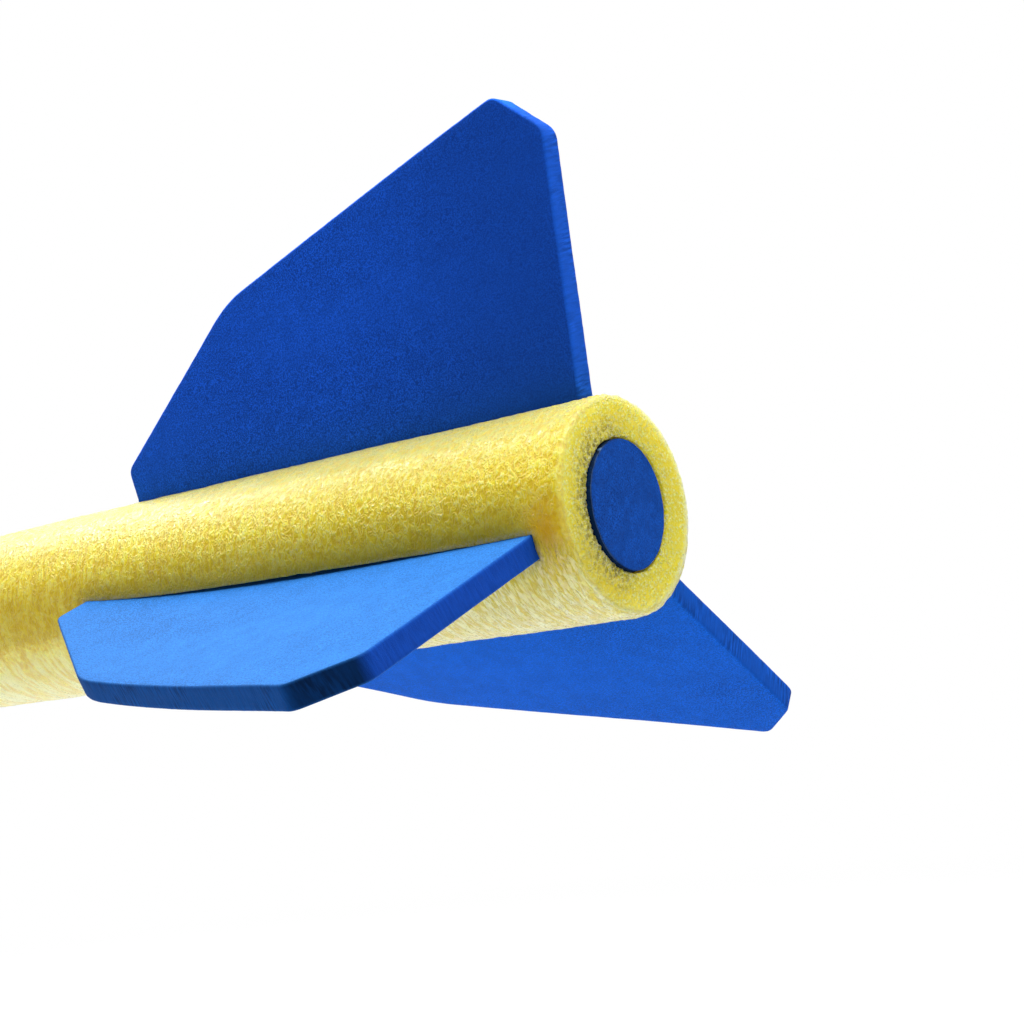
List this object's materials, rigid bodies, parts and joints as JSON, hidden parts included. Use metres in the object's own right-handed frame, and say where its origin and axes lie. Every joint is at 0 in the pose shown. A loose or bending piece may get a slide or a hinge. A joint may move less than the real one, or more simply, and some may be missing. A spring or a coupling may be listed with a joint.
{
  "type": "foam javelin",
  "caption": "Foam javelin: a thick round foam shaft with flat swept fins let into slots at its tail, a plug in the tail end and a rounded nose, for throwing practice.",
  "frame": {"origin": "middle of the tail plug's end face, on the shaft's axis", "axes": "+X along the shaft's axis towards the nose, which is the flight direction; +Z from the axis towards the root of the top fin; +Y to the left of the flight direction"},
  "size_m": [0.8003, 0.2282, 0.2005],
  "materials": {
    "shaft_foam": "matte",
    "plug_foam": "matte",
    "nose_foam": "matte",
    "fin_foam": "matte"
  },
  "bodies": {
    "root": {"foam_shaft": "shaft_foam", "tail_plug": "plug_foam", "nose": "nose_foam", "fin_top": "fin_foam", "fin_left": "fin_foam", "fin_right": "fin_foam"}
  },
  "joints": []
}
